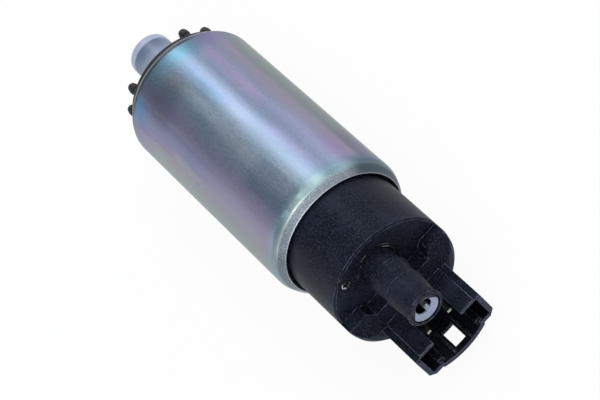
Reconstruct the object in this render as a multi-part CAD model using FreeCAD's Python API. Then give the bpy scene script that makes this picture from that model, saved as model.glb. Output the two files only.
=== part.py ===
import FreeCAD, Part
import math
import os

# In-tank turbine fuel pump, lying along X. Millimetres.
# Origin: on the pump's axis at the middle of the steel can.
# +X points to the outlet end, +Z away from the electrical connector.

# Steel can
can_radius = 19.0
can_length = 68.2
can_wall = 1.2
crimp_length = 3.9
crimp_bulge = 0.2
crimp_depth = 1.88
inlet_crimp_length = 2.1
inlet_crimp_depth = 1.3
lip_thickness = 1.0
lip_face_angle = 40.0

# Clearances between pieces
press_gap = 0.02
seat_gap = 0.05
running_gap = 0.03
slide_gap = 0.08
soft_gap = 0.3

# Outlet cover: flange, barrel and stepped end face
flange_length = 5.6
barrel_inset = 1.63
face_reach = 18.1
face_edge = 0.5
shoulder_reach = 23.5
shoulder_round = 3.0
round_steps = 3
shoulder_top = 1.5
shoulder_lean = 2.0
shoulder_dip = -0.5
shoulder_dip_half_width = 8.8
shoulder_slope_width = 1.6
cover_wall = 1.77
cover_end_wall = 1.9
core_out_half_width = 8.6
core_out_top = -3.6
core_out_bottom = -12.0

# Outlet nozzle on the cover
nozzle_offset = 7.4
nozzle_reach = 36.6
nozzle_root_radius = 4.65
nozzle_groove_width = 0.5
nozzle_groove_depth = 0.5
barb_radius = 5.15
barb_neck_radius = 4.5
barb_land = 0.7
second_barb_radius = 5.0
first_barb_reach = 23.3
second_barb_reach = 28.5
nozzle_tip_radius = 4.85
nozzle_tip_waist = 4.4
nozzle_tip_length = 2.3
nozzle_tip_hollow = -0.08
nozzle_tip_edge = 0.3
valve_bore_radius = 4.05
seat_bore_radius = 2.5
seat_reach = 23.6

# Electrical connector shroud on the cover
shroud_reach = 37.0
shroud_top_setback = 0.7
shroud_half_width = 10.75
shroud_side_wall = 1.3
shroud_top = -4.2
shroud_top_wall = 1.0
shroud_ledge_width = 1.8
shroud_ledge_drop = 0.55
shroud_bottom_inset = 0.6
shroud_bottom_wall = 1.2
shroud_skid_half_width = 6.95
shroud_outer_bottom = -13.4
shroud_corner = 1.6
shroud_slot_half_width = 4.6
socket_floor_reach = 23.2
key_rib_inner = 5.4
key_rib_outer = 7.1
key_rib_top = -10.8
key_rib_setback = 0.5
rail_offset = 2.65
rail_width = 0.5
rail_height = 1.25
rail_length = 8.0
window_half_width = 1.65
window_length = 5.45
window_setback = 1.85

# Relief valve in the cover
relief_angle = 128.1
relief_inset = 2.57
relief_bore_radius = 1.5
relief_boss_radius = 2.5
relief_boss_length = 9.0
relief_port_radius = 0.8
relief_lip_radius = 1.1
relief_lip_length = 0.7
relief_floor = 1.5
plunger_radius = 1.35
plunger_length = 1.6
plunger_nose = 0.7

# Terminals and suppression chokes
terminal_offset = 3.45
terminal_width = 2.1
terminal_thickness = 0.8
terminal_level = -7.0
terminal_setback = 5.1
terminal_tip = 1.2
choke_offset_y = 4.9
choke_offset_z = -7.6
choke_core_radius = 1.25
choke_coil_radius = 2.5
choke_coil_length = 11.0
choke_core_stub = 1.2

# Brush gear
brush_plate_thickness = 3.0
brush_height = 4.4
brush_width = 5.6
brush_length = 8.0
brush_guide_wall = 0.8
brush_spring_radius = 1.6
brush_spring_length = 7.6
brush_lead_width = 0.9
brush_lead_thickness = 0.5
commutator_gap = 0.06
plate_port_radius = 2.5
plate_port_level = 9.0

# Rotor
shaft_radius = 2.0
commutator_radius = 9.0
commutator_bore_radius = 3.2
commutator_hub_length = 3.0
commutator_face_length = 1.6
segment_slot = 0.6
segment_count = 8
commutator_setback = 12.1
winding_overhang = 5.0
winding_inset = 1.5
air_gap = 0.65
slot_count = 8
slot_mouth = 1.4
tooth_width = 2.8
tooth_shoe = 1.5
rotor_hub_radius = 4.6
slot_lining = 0.15
stack_gap = 1.0

# Bearings
bearing_radius = 4.2
bearing_length = 4.6

# Field magnets and their clips
magnet_thickness = 5.2
magnet_half_angle = 74.0
magnet_overhang = 3.0
clip_thickness = 0.6
clip_leg = 3.0

# Pump section at the inlet end
inlet_flange_length = 5.2
casing_rim = 2.75
impeller_thickness = 3.8
blade_depth = 2.4
blade_count = 28
blade_thickness = 0.8
key_flat = 1.5
casing_depth = 4.8
channel_depth = 1.5
channel_half_gap_angle = 22.0
port_half_width = 2.6
discharge_angle = 230.0
discharge_radius = 2.4
discharge_inset = 2.6
thrust_pad_radius = 2.6
thrust_pad_thickness = 1.8

# Inlet nozzle, transit cap and rubber pad
spigot_inset = 1.5
spigot_proud = 0.35
inlet_offset = 8.8
inlet_reach = 9.8
inlet_radius = 4.55
inlet_bore_radius = 3.2
cap_wall = 1.25
cap_end_wall = 1.7
cap_round = 1.3
cap_end_gap = 0.5
cap_flange_radius = 6.35
cap_flange_thickness = 1.2
pad_inset = 2.1
pad_thickness = 1.5
knob_inset = 1.75
knob_count = 14
knob_stem_radius = 1.0
knob_head_radius = 1.4
knob_sides = 8
knob_round_steps = 2
knob_height = 4.1
vent_y = 0.0
vent_z = -10.0
vent_radius = 1.0
vent_boss_radius = 2.2

# Check valve in the nozzle
valve_head_radius = 3.4
valve_head_thickness = 1.4
valve_cone = 0.9
valve_stem_radius = 1.0
valve_stem_proud = 0.3
retainer_length = 3.2
retainer_setback = 0.5
retainer_inner_radius = 2.95
retainer_dish = 1.0
retainer_throat = 0.3
retainer_back_wall = 0.6
retainer_hub_radius = 1.45
retainer_spoke_width = 1.0
retainer_spoke_count = 3
retainer_spoke_length = 1.7
valve_spring_radius = 2.05

# Springs and seals
spring_wire = 0.22
spring_turns = 4
spring_wire_sides = 4
seal_length = 1.5

# Stations along the axis that follow from the sizes above
half_can = can_length / 2
inner_radius = can_radius - can_wall
body_radius = inner_radius - seat_gap
barrel_radius = inner_radius - barrel_inset
seal_end_x = half_can - crimp_length - can_wall / 4
flange_end_x = seal_end_x - seal_length - press_gap
flange_start_x = flange_end_x - flange_length
face_x = half_can + face_reach
shoulder_x = half_can + shoulder_reach
nozzle_end_x = half_can + nozzle_reach
shroud_x = half_can + shroud_reach
shroud_top_x = shroud_x - shroud_top_setback
shroud_bottom_radius = barrel_radius - shroud_bottom_inset
seat_x = half_can + seat_reach
socket_floor_x = half_can + socket_floor_reach
cavity_radius = barrel_radius - cover_wall
cavity_end_x = face_x - cover_end_wall
core_out_x = shoulder_x - cover_end_wall

brush_offset = (commutator_radius + commutator_bore_radius) / 2
commutator_face_x = half_can - commutator_setback
commutator_start_x = commutator_face_x - commutator_face_length - commutator_hub_length
brush_start_x = commutator_face_x + commutator_gap
brush_end_x = brush_start_x + brush_length
brush_spring_end_x = brush_end_x + brush_spring_length
brush_plate_x = flange_start_x + flange_length / 2
brush_plate_top_x = brush_plate_x + brush_plate_thickness
choke_end_x = brush_plate_top_x + choke_coil_length + choke_core_stub
guide_end_x = brush_spring_end_x + brush_guide_wall
guide_half_height = brush_height / 2 + slide_gap + brush_guide_wall
guide_half_width = brush_width / 2 + slide_gap + brush_guide_wall
upper_bearing_x = commutator_face_x + soft_gap * 4
upper_bearing_radius = brush_offset - guide_half_height + brush_guide_wall / 2
shaft_end_x = upper_bearing_x + bearing_length + soft_gap

inlet_lip_x = -half_can
inlet_flange_start_x = inlet_lip_x + inlet_crimp_length + can_wall / 4
spigot_x = inlet_lip_x - spigot_proud
pump_face_x = inlet_flange_start_x + inlet_flange_length
impeller_x = pump_face_x + running_gap
pocket_x = impeller_x + impeller_thickness + running_gap
casing_x = pocket_x + casing_depth
lower_bearing_x = casing_x - bearing_length + soft_gap * 2
shaft_start_x = pump_face_x - soft_gap
lower_winding_x = lower_bearing_x + bearing_length + stack_gap
core_start_x = lower_winding_x + winding_overhang
core_end_x = commutator_start_x - stack_gap - winding_overhang
magnet_start_x = core_start_x - magnet_overhang
magnet_end_x = core_end_x + magnet_overhang
magnet_inner_radius = body_radius - magnet_thickness
core_radius = magnet_inner_radius - air_gap
winding_radius = core_radius - winding_inset
impeller_radius = body_radius - casing_rim
impeller_web_radius = impeller_radius - blade_depth
channel_radius = impeller_radius + running_gap
spigot_radius = inner_radius - spigot_inset
pad_radius = can_radius - pad_inset
knob_circle = pad_radius - knob_inset
pad_x = spigot_x - pad_thickness
inlet_end_x = spigot_x - inlet_reach
cap_inner_radius = inlet_radius + slide_gap
cap_radius = cap_inner_radius + cap_wall
cap_open_x = pad_x - soft_gap
cap_end_x = inlet_end_x - cap_end_gap - cap_end_wall

valve_head_x = seat_x + valve_head_thickness
retainer_end_x = nozzle_end_x - retainer_setback
retainer_x = retainer_end_x - retainer_length
spoke_x = retainer_x + retainer_spoke_length
stem_end_x = spoke_x + valve_stem_proud
relief_seat_x = face_x - relief_boss_length + relief_floor
relief_y = (barrel_radius - relief_inset) * math.cos(math.radians(relief_angle))
relief_z = (barrel_radius - relief_inset) * math.sin(math.radians(relief_angle))
plunger_end_x = relief_seat_x + plunger_length
relief_lip_x = face_x - relief_lip_length

AXIS = FreeCAD.Vector(1, 0, 0)
ORIGIN = FreeCAD.Vector(0, 0, 0)


# Drawing helpers: a step is a point for a straight line, or (through, point) for an arc

def edges_of(start, steps, place):
    edges = []
    here = start
    for step in steps:
        if isinstance(step[0], tuple):
            through, there = step
            edges.append(Part.Arc(place(here), place(through), place(there)).toShape())
        else:
            there = step
            edges.append(Part.makeLine(place(here), place(there)))
        here = there
    if math.dist(here, start) > 1e-6:
        edges.append(Part.makeLine(place(here), place(start)))
    return edges


def face_of(start, steps, place):
    return Part.Face(Part.Wire(edges_of(start, steps, place)))


def turned(start, *steps, y=0.0, z=0.0):
    """a solid of revolution; points are (x, radius) about the line through y, z"""
    face = face_of(start, steps, lambda p: FreeCAD.Vector(p[0], y + p[1], z))
    return face.revolve(FreeCAD.Vector(0, y, z), AXIS, 360)


def prism(x0, x1, start, *steps):
    """an outline in the YZ plane carried from x0 to x1"""
    face = face_of(start, steps, lambda p: FreeCAD.Vector(x0, p[0], p[1]))
    return face.extrude(FreeCAD.Vector(x1 - x0, 0, 0))


def cylinder(radius, x0, x1, y=0.0, z=0.0):
    return Part.makeCylinder(radius, x1 - x0, FreeCAD.Vector(x0, y, z), AXIS)


def sleeve(inner, outer, x0, x1, y=0.0, z=0.0):
    return cylinder(outer, x0, x1, y, z).cut(cylinder(inner, x0 - 1, x1 + 1, y, z))


def block(x0, x1, y0, y1, z0, z1):
    return Part.makeBox(x1 - x0, y1 - y0, z1 - z0, FreeCAD.Vector(x0, y0, z0))


def turned_about_axis(shape, angle):
    copy = shape.copy()
    copy.rotate(ORIGIN, AXIS, angle)
    return copy


def around(shape, count, start=0.0):
    return [turned_about_axis(shape, start + 360.0 * i / count) for i in range(count)]


def mirrored_y(shape):
    return shape.mirror(ORIGIN, FreeCAD.Vector(0, 1, 0))


def rounded(x, level, radius, steps, out=1):
    """points of a quarter round in a turned outline, from its end on the side to its end on the face"""
    points = []
    for i in range(steps + 1):
        turn = math.radians(90 * i / steps)
        points.append((x - out * radius * (1 - math.sin(turn)), level - radius * (1 - math.cos(turn))))
    return points


def drop(radius, y):
    """height of a point at width y on the underside of a circle about the axis"""
    return -math.sqrt(radius ** 2 - y ** 2)


def polar(radius, degrees):
    """y, z of a point at an angle measured from +Y towards +Z"""
    return radius * math.cos(math.radians(degrees)), radius * math.sin(math.radians(degrees))


def between(a, b, bulge):
    """the middle of two points, moved sideways to the left of a to b"""
    length = math.dist(a, b)
    nx = -(b[1] - a[1]) / length
    ny = (b[0] - a[0]) / length
    return (a[0] + b[0]) / 2 + nx * bulge, (a[1] + b[1]) / 2 + ny * bulge


def corners_around(centre, radius, sides, turned_to):
    """a regular outline, closed, whose own axis Z is turned by the given rotation"""
    corners = []
    for i in range(sides + 1):
        turn = 2 * math.pi * i / sides
        corner = FreeCAD.Vector(radius * math.cos(turn), radius * math.sin(turn), 0)
        corners.append(centre + turned_to.multVec(corner))
    return corners


# Springs: a wire on a helix made of quarter turns, each of two tangent arcs

def helix_point(radius, pitch, turn):
    angle = 2 * math.pi * turn
    return FreeCAD.Vector(pitch * turn, radius * math.cos(angle), radius * math.sin(angle))


def helix_tangent(radius, pitch, turn):
    angle = 2 * math.pi * turn
    rise = pitch / (2 * math.pi)
    direction = FreeCAD.Vector(rise, -radius * math.sin(angle), radius * math.cos(angle))
    return direction.normalize()


def biarc(start, start_way, end, end_way):
    """two arcs that leave start along start_way and reach end along end_way"""
    chord = end - start
    both = start_way + end_way
    a = 2 * (1 - start_way.dot(end_way))
    b = 2 * chord.dot(both)
    c = -chord.dot(chord)
    reach = (-b + math.sqrt(b * b - 4 * a * c)) / (2 * a)
    first_knee = start + start_way * reach
    second_knee = end - end_way * reach
    joint = (first_knee + second_knee) * 0.5
    joint_way = (second_knee - first_knee).normalize()
    arcs = []
    for p, way, q in ((start, start_way, joint), (joint, joint_way, end)):
        run = q - p
        across = run - way * run.dot(way)
        if across.Length < 1e-9:
            arcs.append(Part.makeLine(p, q))
            continue
        normal = across.normalize()
        radius = run.dot(run) / (2 * run.dot(normal))
        centre = p + normal * radius
        middle = (p + q) * 0.5 - centre
        arcs.append(Part.Arc(p, centre + middle.normalize() * radius, q).toShape())
    return arcs


def coil(radius, wire, start_x, end_x, turns, y=0.0, z=0.0):
    length = end_x - start_x - 2 * wire
    pitch = length / turns
    edges = []
    for quarter in range(4 * turns):
        t0 = quarter / 4
        t1 = (quarter + 1) / 4
        p0 = helix_point(radius, pitch, t0)
        p1 = helix_point(radius, pitch, t1)
        edges += biarc(p0, helix_tangent(radius, pitch, t0), p1, helix_tangent(radius, pitch, t1))
    path = Part.Wire(edges)
    toward = FreeCAD.Rotation(FreeCAD.Vector(0, 0, 1), helix_tangent(radius, pitch, 0))
    ring = Part.makePolygon(corners_around(helix_point(radius, pitch, 0), wire, spring_wire_sides, toward))
    spring = path.makePipeShell([ring], True, False)
    spring.translate(FreeCAD.Vector(start_x + wire, y, z))
    print("coil of radius", radius, "has a least gap between turns of", round(pitch - 2 * wire, 2))
    return spring


# Housing

def crimp_points(length, depth):
    """corners of a rolled-in lip, as (distance from the can's middle, radius), from its side to its bore"""
    root = (half_can - length, can_radius)
    lip = (half_can, can_radius - depth)
    angle = math.radians(lip_face_angle)
    inner = (half_can - lip_thickness * math.cos(angle), lip[1] - lip_thickness * math.sin(angle))
    bore = (half_can - length - can_wall / 4, inner_radius)
    return [root, between(root, lip, crimp_bulge), lip, inner, bore]


def housing_can():
    near = crimp_points(crimp_length, crimp_depth)
    far = [(-x, radius) for x, radius in crimp_points(inlet_crimp_length, inlet_crimp_depth)]
    return turned(far[0], *near, *far[:0:-1])


def cover_seal():
    """square-cut ring between the cover's flange and the crimp"""
    x0 = flange_end_x + press_gap
    inner = barrel_radius + press_gap
    outer = inner_radius - press_gap
    return turned((x0, inner), (x0, outer), (seal_end_x, outer), (seal_end_x, inner))


# Outlet cover

def nozzle_outline(start_x):
    def reach(value):
        return half_can + value

    tip_x = nozzle_end_x - nozzle_tip_length
    half_land = barb_land / 2
    edge = nozzle_tip_edge
    return [
        (start_x, 0.0), (start_x, nozzle_root_radius),
        (reach(first_barb_reach) - half_land, nozzle_root_radius),
        (reach(first_barb_reach) - half_land, barb_radius),
        (reach(first_barb_reach) + half_land, barb_radius),
        (reach(second_barb_reach) - half_land, barb_neck_radius),
        (reach(second_barb_reach) - half_land, second_barb_radius),
        (reach(second_barb_reach) + half_land, second_barb_radius),
        (tip_x, nozzle_tip_waist),
        between((tip_x, nozzle_tip_waist), (nozzle_end_x - edge, nozzle_tip_radius), nozzle_tip_hollow),
        (nozzle_end_x - edge, nozzle_tip_radius), (nozzle_end_x, nozzle_tip_radius - edge),
        (nozzle_end_x, 0.0),
    ]


def shoulder_prism():
    """the part of the end face that stands higher, on the connector's side"""
    inner = shoulder_dip_half_width
    outer = inner + shoulder_slope_width
    edge = barrel_radius + can_wall
    return prism(
        face_x - shoulder_round * 2, shoulder_x + 1,
        (-edge, -edge), (-edge, shoulder_top), (-outer, shoulder_top), (-inner, shoulder_dip),
        (inner, shoulder_dip), (outer, shoulder_top), (edge, shoulder_top), (edge, -edge),
    )


def shoulder_front():
    """the space in front of the shoulder's top, which leans back from the connector"""
    edge = barrel_radius + can_wall
    front = shoulder_x + 1
    points = [(shoulder_x, shroud_top), (shoulder_x - shoulder_lean, shoulder_top),
              (shoulder_x - shoulder_lean, shoulder_top + 1), (front, shoulder_top + 1), (front, shroud_top)]
    face = face_of(points[0], points[1:], lambda p: FreeCAD.Vector(p[0], -edge, p[1]))
    return face.extrude(FreeCAD.Vector(0, 2 * edge, 0))


def cover_body():
    low = turned(
        (flange_start_x, 0.0), (flange_start_x, body_radius), (flange_end_x, body_radius),
        (flange_end_x, barrel_radius), (face_x - face_edge, barrel_radius),
        (face_x, barrel_radius - face_edge), (face_x, 0.0),
    )
    high = turned(
        (flange_end_x, 0.0), (flange_end_x, barrel_radius),
        *rounded(shoulder_x, barrel_radius, shoulder_round, round_steps), (shoulder_x, 0.0),
    )
    return low.fuse(high.common(shoulder_prism()).cut(shoulder_front()))


def shroud_body():
    half = shroud_half_width
    ledge = half - shroud_ledge_width
    skid = shroud_skid_half_width
    skid_bottom = drop(shroud_bottom_radius, skid)
    low = shroud_top - shroud_ledge_drop
    outer = prism(
        shoulder_x - shoulder_round * 2, shroud_x,
        (-half, low), (-ledge, low), (-ledge, shroud_top), (ledge, shroud_top), (ledge, low), (half, low),
        (half, shroud_outer_bottom + shroud_corner), (half - shroud_corner, shroud_outer_bottom),
        (skid, shroud_outer_bottom), (skid, skid_bottom),
        ((0.0, -shroud_bottom_radius), (-skid, skid_bottom)),
        (-skid, shroud_outer_bottom), (-half + shroud_corner, shroud_outer_bottom),
        (-half, shroud_outer_bottom + shroud_corner),
    )
    front_trim = block(shroud_top_x, shroud_x + 1, -half - 1, half + 1,
                       shroud_top - shroud_top_wall, shroud_top + 1)
    return outer.cut(front_trim)


def socket_space():
    half = shroud_half_width - shroud_side_wall
    top = shroud_top - shroud_top_wall
    radius = shroud_bottom_radius - shroud_bottom_wall
    outer_floor = shroud_outer_bottom + shroud_bottom_wall
    skid = shroud_skid_half_width - shroud_side_wall / 2
    cavity = prism(
        socket_floor_x, shroud_x + 1,
        (-half, top), (half, top), (half, outer_floor), (skid, outer_floor), (skid, drop(radius, skid)),
        ((0.0, -radius), (-skid, drop(radius, skid))), (-skid, outer_floor), (-half, outer_floor),
    )
    slot = block(socket_floor_x, shroud_x + 1, -shroud_slot_half_width, shroud_slot_half_width,
                 top - 1, shroud_top + 1)
    return cavity.fuse(slot)


def socket_details():
    """keying ribs and latch rails that stand on the socket's floor"""
    deep = -shroud_bottom_radius + shroud_bottom_wall / 2
    rail_top = -shroud_bottom_radius + shroud_bottom_wall + rail_height
    pieces = []
    for side in (1, -1):
        inner, outer = sorted((side * key_rib_inner, side * key_rib_outer))
        pieces.append(block(socket_floor_x - 1, shroud_x - key_rib_setback, inner, outer,
                            shroud_outer_bottom + shroud_bottom_wall / 2, key_rib_top))
        middle = side * rail_offset
        pieces.append(block(shroud_x - rail_length, shroud_x - key_rib_setback, middle - rail_width / 2,
                            middle + rail_width / 2, deep, rail_top))
    return pieces


def terminal_slot(side):
    half = terminal_width / 2 + press_gap
    middle = side * terminal_offset
    rise = terminal_thickness / 2 + press_gap
    return block(cavity_end_x - 1, socket_floor_x + 1, middle - half, middle + half,
                 terminal_level - rise, terminal_level + rise)


def outlet_cover():
    cover = cover_body().fuse([shroud_body(), turned(*nozzle_outline(face_x - 1), z=nozzle_offset)])
    cover = cover.cut(socket_space())
    cover = cover.fuse(socket_details())
    hollow = cylinder(cavity_radius, flange_start_x - 1, cavity_end_x)
    core_out = block(cavity_end_x - 1, core_out_x, -core_out_half_width, core_out_half_width,
                     core_out_bottom, core_out_top)
    core_out = core_out.common(cylinder(cavity_radius, cavity_end_x - 1, core_out_x))
    boss = cylinder(relief_boss_radius, face_x - relief_boss_length, face_x, relief_y, relief_z)
    boss = boss.common(cylinder(barrel_radius, face_x - relief_boss_length, face_x))
    cover = cover.cut([hollow, core_out]).fuse(boss)
    groove = turned(
        (face_x - nozzle_groove_depth, nozzle_root_radius), (face_x + 1, nozzle_root_radius),
        (face_x + 1, nozzle_root_radius + nozzle_groove_width),
        (face_x - nozzle_groove_depth, nozzle_root_radius + nozzle_groove_width), z=nozzle_offset,
    )
    groove = groove.common(block(face_x - 1, face_x + 1, -barrel_radius, barrel_radius,
                                 shoulder_top, barrel_radius))
    flow = [
        cylinder(seat_bore_radius, cavity_end_x - 1, nozzle_end_x + 1, z=nozzle_offset),
        cylinder(valve_bore_radius, seat_x, nozzle_end_x + 1, z=nozzle_offset),
    ]
    relief = [
        cylinder(relief_port_radius, face_x - relief_boss_length - 1, face_x, relief_y, relief_z),
        cylinder(relief_bore_radius, relief_seat_x, relief_lip_x, relief_y, relief_z),
        cylinder(relief_lip_radius, relief_lip_x - 1, face_x + 1, relief_y, relief_z),
    ]
    window_x = shroud_x - window_setback
    window = block(window_x - window_length, window_x, -window_half_width, window_half_width,
                   -shroud_bottom_radius - 1, -shroud_bottom_radius + shroud_bottom_wall * 2)
    slots = [terminal_slot(1), terminal_slot(-1)]
    return cover.cut([groove, window] + flow + relief + slots).removeSplitter()


# Terminals, chokes and brush gear

def terminal(side):
    """a blade in the socket with a foot inside that meets the choke"""
    half = terminal_width / 2
    back = choke_end_x + press_gap
    end = shroud_x - terminal_setback
    blade = Part.Face(Part.Wire(edges_of(
        (back, -half),
        [(end - terminal_tip, -half), (end, -half / 2), (end, half / 2),
         (end - terminal_tip, half), (back, half)],
        lambda p: FreeCAD.Vector(p[0], terminal_offset + p[1], terminal_level - terminal_thickness / 2),
    ))).extrude(FreeCAD.Vector(0, 0, terminal_thickness))
    foot = block(back, back + terminal_thickness, terminal_offset - half, choke_offset_y + choke_core_radius,
                 choke_offset_z - choke_core_radius, terminal_level + terminal_thickness / 2)
    shape = blade.fuse(foot).removeSplitter()
    return shape if side > 0 else mirrored_y(shape)


def choke_core(side):
    return cylinder(choke_core_radius, brush_plate_x, choke_end_x, side * choke_offset_y, choke_offset_z)


def choke_coil(side):
    """the wound sleeve on the ferrite rod"""
    x0 = brush_plate_top_x + press_gap
    return sleeve(choke_core_radius + press_gap, choke_coil_radius, x0, x0 + choke_coil_length,
                  side * choke_offset_y, choke_offset_z)


def brush_plate():
    radius = cavity_radius - seat_gap
    plate = cylinder(radius, brush_plate_x, brush_plate_top_x)
    hub_end_x = brush_plate_top_x + soft_gap * 2
    hub = cylinder(upper_bearing_radius + brush_guide_wall, upper_bearing_x, hub_end_x)
    shape = plate.fuse(hub)
    inner_y = brush_height / 2 + slide_gap
    inner_z = brush_width / 2 + slide_gap
    for side in (1, -1):
        y = side * brush_offset
        guide = block(brush_start_x + 1, guide_end_x, y - guide_half_height, y + guide_half_height,
                      -guide_half_width, guide_half_width)
        shape = shape.fuse(guide)
    for side in (1, -1):
        y = side * brush_offset
        channel = block(brush_start_x, brush_spring_end_x, y - inner_y, y + inner_y, -inner_z, inner_z)
        half_lead = brush_lead_width / 2 + press_gap
        lead_rise = brush_lead_thickness / 2 + press_gap
        lead_hole = block(brush_spring_end_x - 1, guide_end_x + 1, y - lead_rise, y + lead_rise,
                          -half_lead, half_lead)
        socket = cylinder(choke_core_radius + press_gap, brush_plate_x - 1, brush_plate_top_x + 1,
                          side * choke_offset_y, choke_offset_z)
        shape = shape.cut([channel, lead_hole, socket])
    flow_hole = cylinder(plate_port_radius, brush_plate_x - 1, brush_plate_top_x + 1, 0, plate_port_level)
    seat = cylinder(upper_bearing_radius + press_gap, upper_bearing_x - 1, upper_bearing_x + bearing_length)
    shaft_hole = cylinder(shaft_radius + soft_gap, upper_bearing_x - 1, shaft_end_x + soft_gap)
    return shape.cut([flow_hole, seat, shaft_hole]).removeSplitter()


def bearing(x0, outer):
    return sleeve(shaft_radius + running_gap, outer, x0, x0 + bearing_length)


def brush(side):
    y = side * brush_offset
    return block(brush_start_x, brush_end_x, y - brush_height / 2, y + brush_height / 2,
                 -brush_width / 2, brush_width / 2)


def spring_room(radius, x0, x1, y, z=0.0):
    """the room that a coiled spring takes, as a thin sleeve"""
    return sleeve(radius - spring_wire, radius + spring_wire, x0, x1, y, z)


def brush_spring(side):
    return spring_room(brush_spring_radius, brush_end_x, brush_spring_end_x, side * brush_offset)


def brush_lead(side):
    y = side * brush_offset
    return block(brush_end_x, guide_end_x, y - brush_lead_thickness / 2, y + brush_lead_thickness / 2,
                 -brush_lead_width / 2, brush_lead_width / 2)


# Rotor

def above_flat(level, x0, x1):
    """the space over the flat that drives the impeller"""
    return block(x0, x1, -2 * shaft_radius, 2 * shaft_radius, level, 2 * shaft_radius)


def shaft():
    tip = shaft_radius / 4
    rod = turned(
        (shaft_start_x, 0.0), (shaft_start_x, shaft_radius - tip), (shaft_start_x + tip, shaft_radius),
        (shaft_end_x - tip, shaft_radius), (shaft_end_x, shaft_radius - tip), (shaft_end_x, 0.0),
    )
    return rod.cut(above_flat(key_flat, shaft_start_x - 1, pocket_x))


def slot_shape(x0, x1, gap=0.0):
    """one winding slot of the core, pointing along +Y; gap makes the coil side smaller"""
    half_pitch = math.pi / slot_count
    half_tooth = tooth_width / 2 + gap
    outer_radius = core_radius - tooth_shoe - gap

    def wall_point(radius):
        y = radius * math.cos(half_pitch) + half_tooth * math.sin(half_pitch)
        z = radius * math.sin(half_pitch) - half_tooth * math.cos(half_pitch)
        return y, z

    a = wall_point(rotor_hub_radius + gap)
    b = wall_point(math.sqrt(outer_radius ** 2 - half_tooth ** 2))
    return prism(x0, x1, (a[0], -a[1]), (b[0], -b[1]), ((outer_radius, 0.0), (b[0], b[1])), (a[0], a[1]))


def armature_core():
    core = cylinder(core_radius, core_start_x, core_end_x)
    shoe_radius = core_radius - tooth_shoe
    mouth = block(core_start_x - 1, core_end_x + 1, shoe_radius - tooth_shoe, core_radius + 1,
                  -slot_mouth / 2, slot_mouth / 2)
    slot = slot_shape(core_start_x - 1, core_end_x + 1).fuse(mouth)
    bore = cylinder(shaft_radius + press_gap, core_start_x - 1, core_end_x + 1)
    return core.cut(around(slot, slot_count) + [bore])


def end_turns(x0, x1):
    """the ring of wire that stands out at one end of the core"""
    return sleeve(shaft_radius + soft_gap, winding_radius, x0, x1)


def armature_winding():
    lower = end_turns(core_start_x - winding_overhang, core_start_x - press_gap)
    upper = end_turns(core_end_x + press_gap, core_end_x + winding_overhang)
    sides = around(slot_shape(core_start_x - 1, core_end_x + 1, slot_lining), slot_count)
    return lower.fuse([upper] + sides).removeSplitter()


def commutator_hub():
    x1 = commutator_start_x + commutator_hub_length
    disc = cylinder(commutator_radius, commutator_start_x, x1)
    collar = cylinder(commutator_bore_radius - press_gap, x1, commutator_face_x - soft_gap)
    bore = cylinder(shaft_radius + press_gap, commutator_start_x - 1, commutator_face_x + 1)
    return disc.fuse(collar).cut(bore)


def commutator_segments():
    x0 = commutator_start_x + commutator_hub_length
    ring = cylinder(commutator_radius, x0, commutator_face_x)
    ring = ring.cut(cylinder(commutator_bore_radius, x0 - 1, commutator_face_x + 1))
    slit = block(x0 - 1, commutator_face_x + 1, 0, commutator_radius + 1,
                 -segment_slot / 2, segment_slot / 2)
    return ring.cut(around(slit, segment_count))


def impeller():
    x0 = impeller_x
    x1 = impeller_x + impeller_thickness
    blade = block(x0, x1, impeller_web_radius - 1, impeller_radius + 1,
                  -blade_thickness / 2, blade_thickness / 2)
    wheel = cylinder(impeller_web_radius, x0, x1).fuse(around(blade, blade_count))
    wheel = wheel.common(cylinder(impeller_radius, x0, x1))
    bore = cylinder(shaft_radius + press_gap, x0 - 1, x1 + 1)
    bore = bore.cut(above_flat(key_flat + press_gap, x0 - 2, x1 + 2))
    return wheel.cut(bore)


# Magnets

def magnet(side):
    first = 90 - magnet_half_angle
    last = 90 + magnet_half_angle
    arc = prism(
        magnet_start_x, magnet_end_x,
        polar(magnet_inner_radius, first), polar(body_radius, first),
        (polar(body_radius, 90), polar(body_radius, last)), polar(magnet_inner_radius, last),
        (polar(magnet_inner_radius, 90), polar(magnet_inner_radius, first)),
    )
    return arc if side > 0 else turned_about_axis(arc, 180)


def magnet_clip(side):
    """a bent spring strip that wedges the two magnets apart along one side"""
    gap = math.asin(seat_gap / body_radius)
    half = 90 - magnet_half_angle - math.degrees(gap) * 2
    outer = body_radius
    mid = outer - clip_thickness
    leg = outer - clip_thickness - clip_leg
    inset = math.degrees(clip_thickness / mid)
    strip = prism(
        magnet_start_x + clip_thickness, magnet_end_x - clip_thickness,
        polar(outer, -half), (polar(outer, 0), polar(outer, half)),
        polar(leg, half), polar(leg, half - inset),
        polar(mid, half - inset), (polar(mid, 0), polar(mid, inset - half)), polar(leg, inset - half),
        polar(leg, -half),
    )
    return strip if side > 0 else turned_about_axis(strip, 180)


# Pump section

def flow_channel(x0, x1):
    """the ring-shaped channel over the blades, open except for the stripper at the bottom"""
    root = impeller_web_radius - blade_thickness
    ring = cylinder(channel_radius, x0, x1).cut(cylinder(root, x0, x1))
    half = math.radians(channel_half_gap_angle)
    side = 2 * impeller_radius * math.tan(half)
    wedge = prism(x0, x1, (0.0, 0.0), (side, -2 * impeller_radius), (-side, -2 * impeller_radius))
    return ring.cut(wedge)


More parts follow.
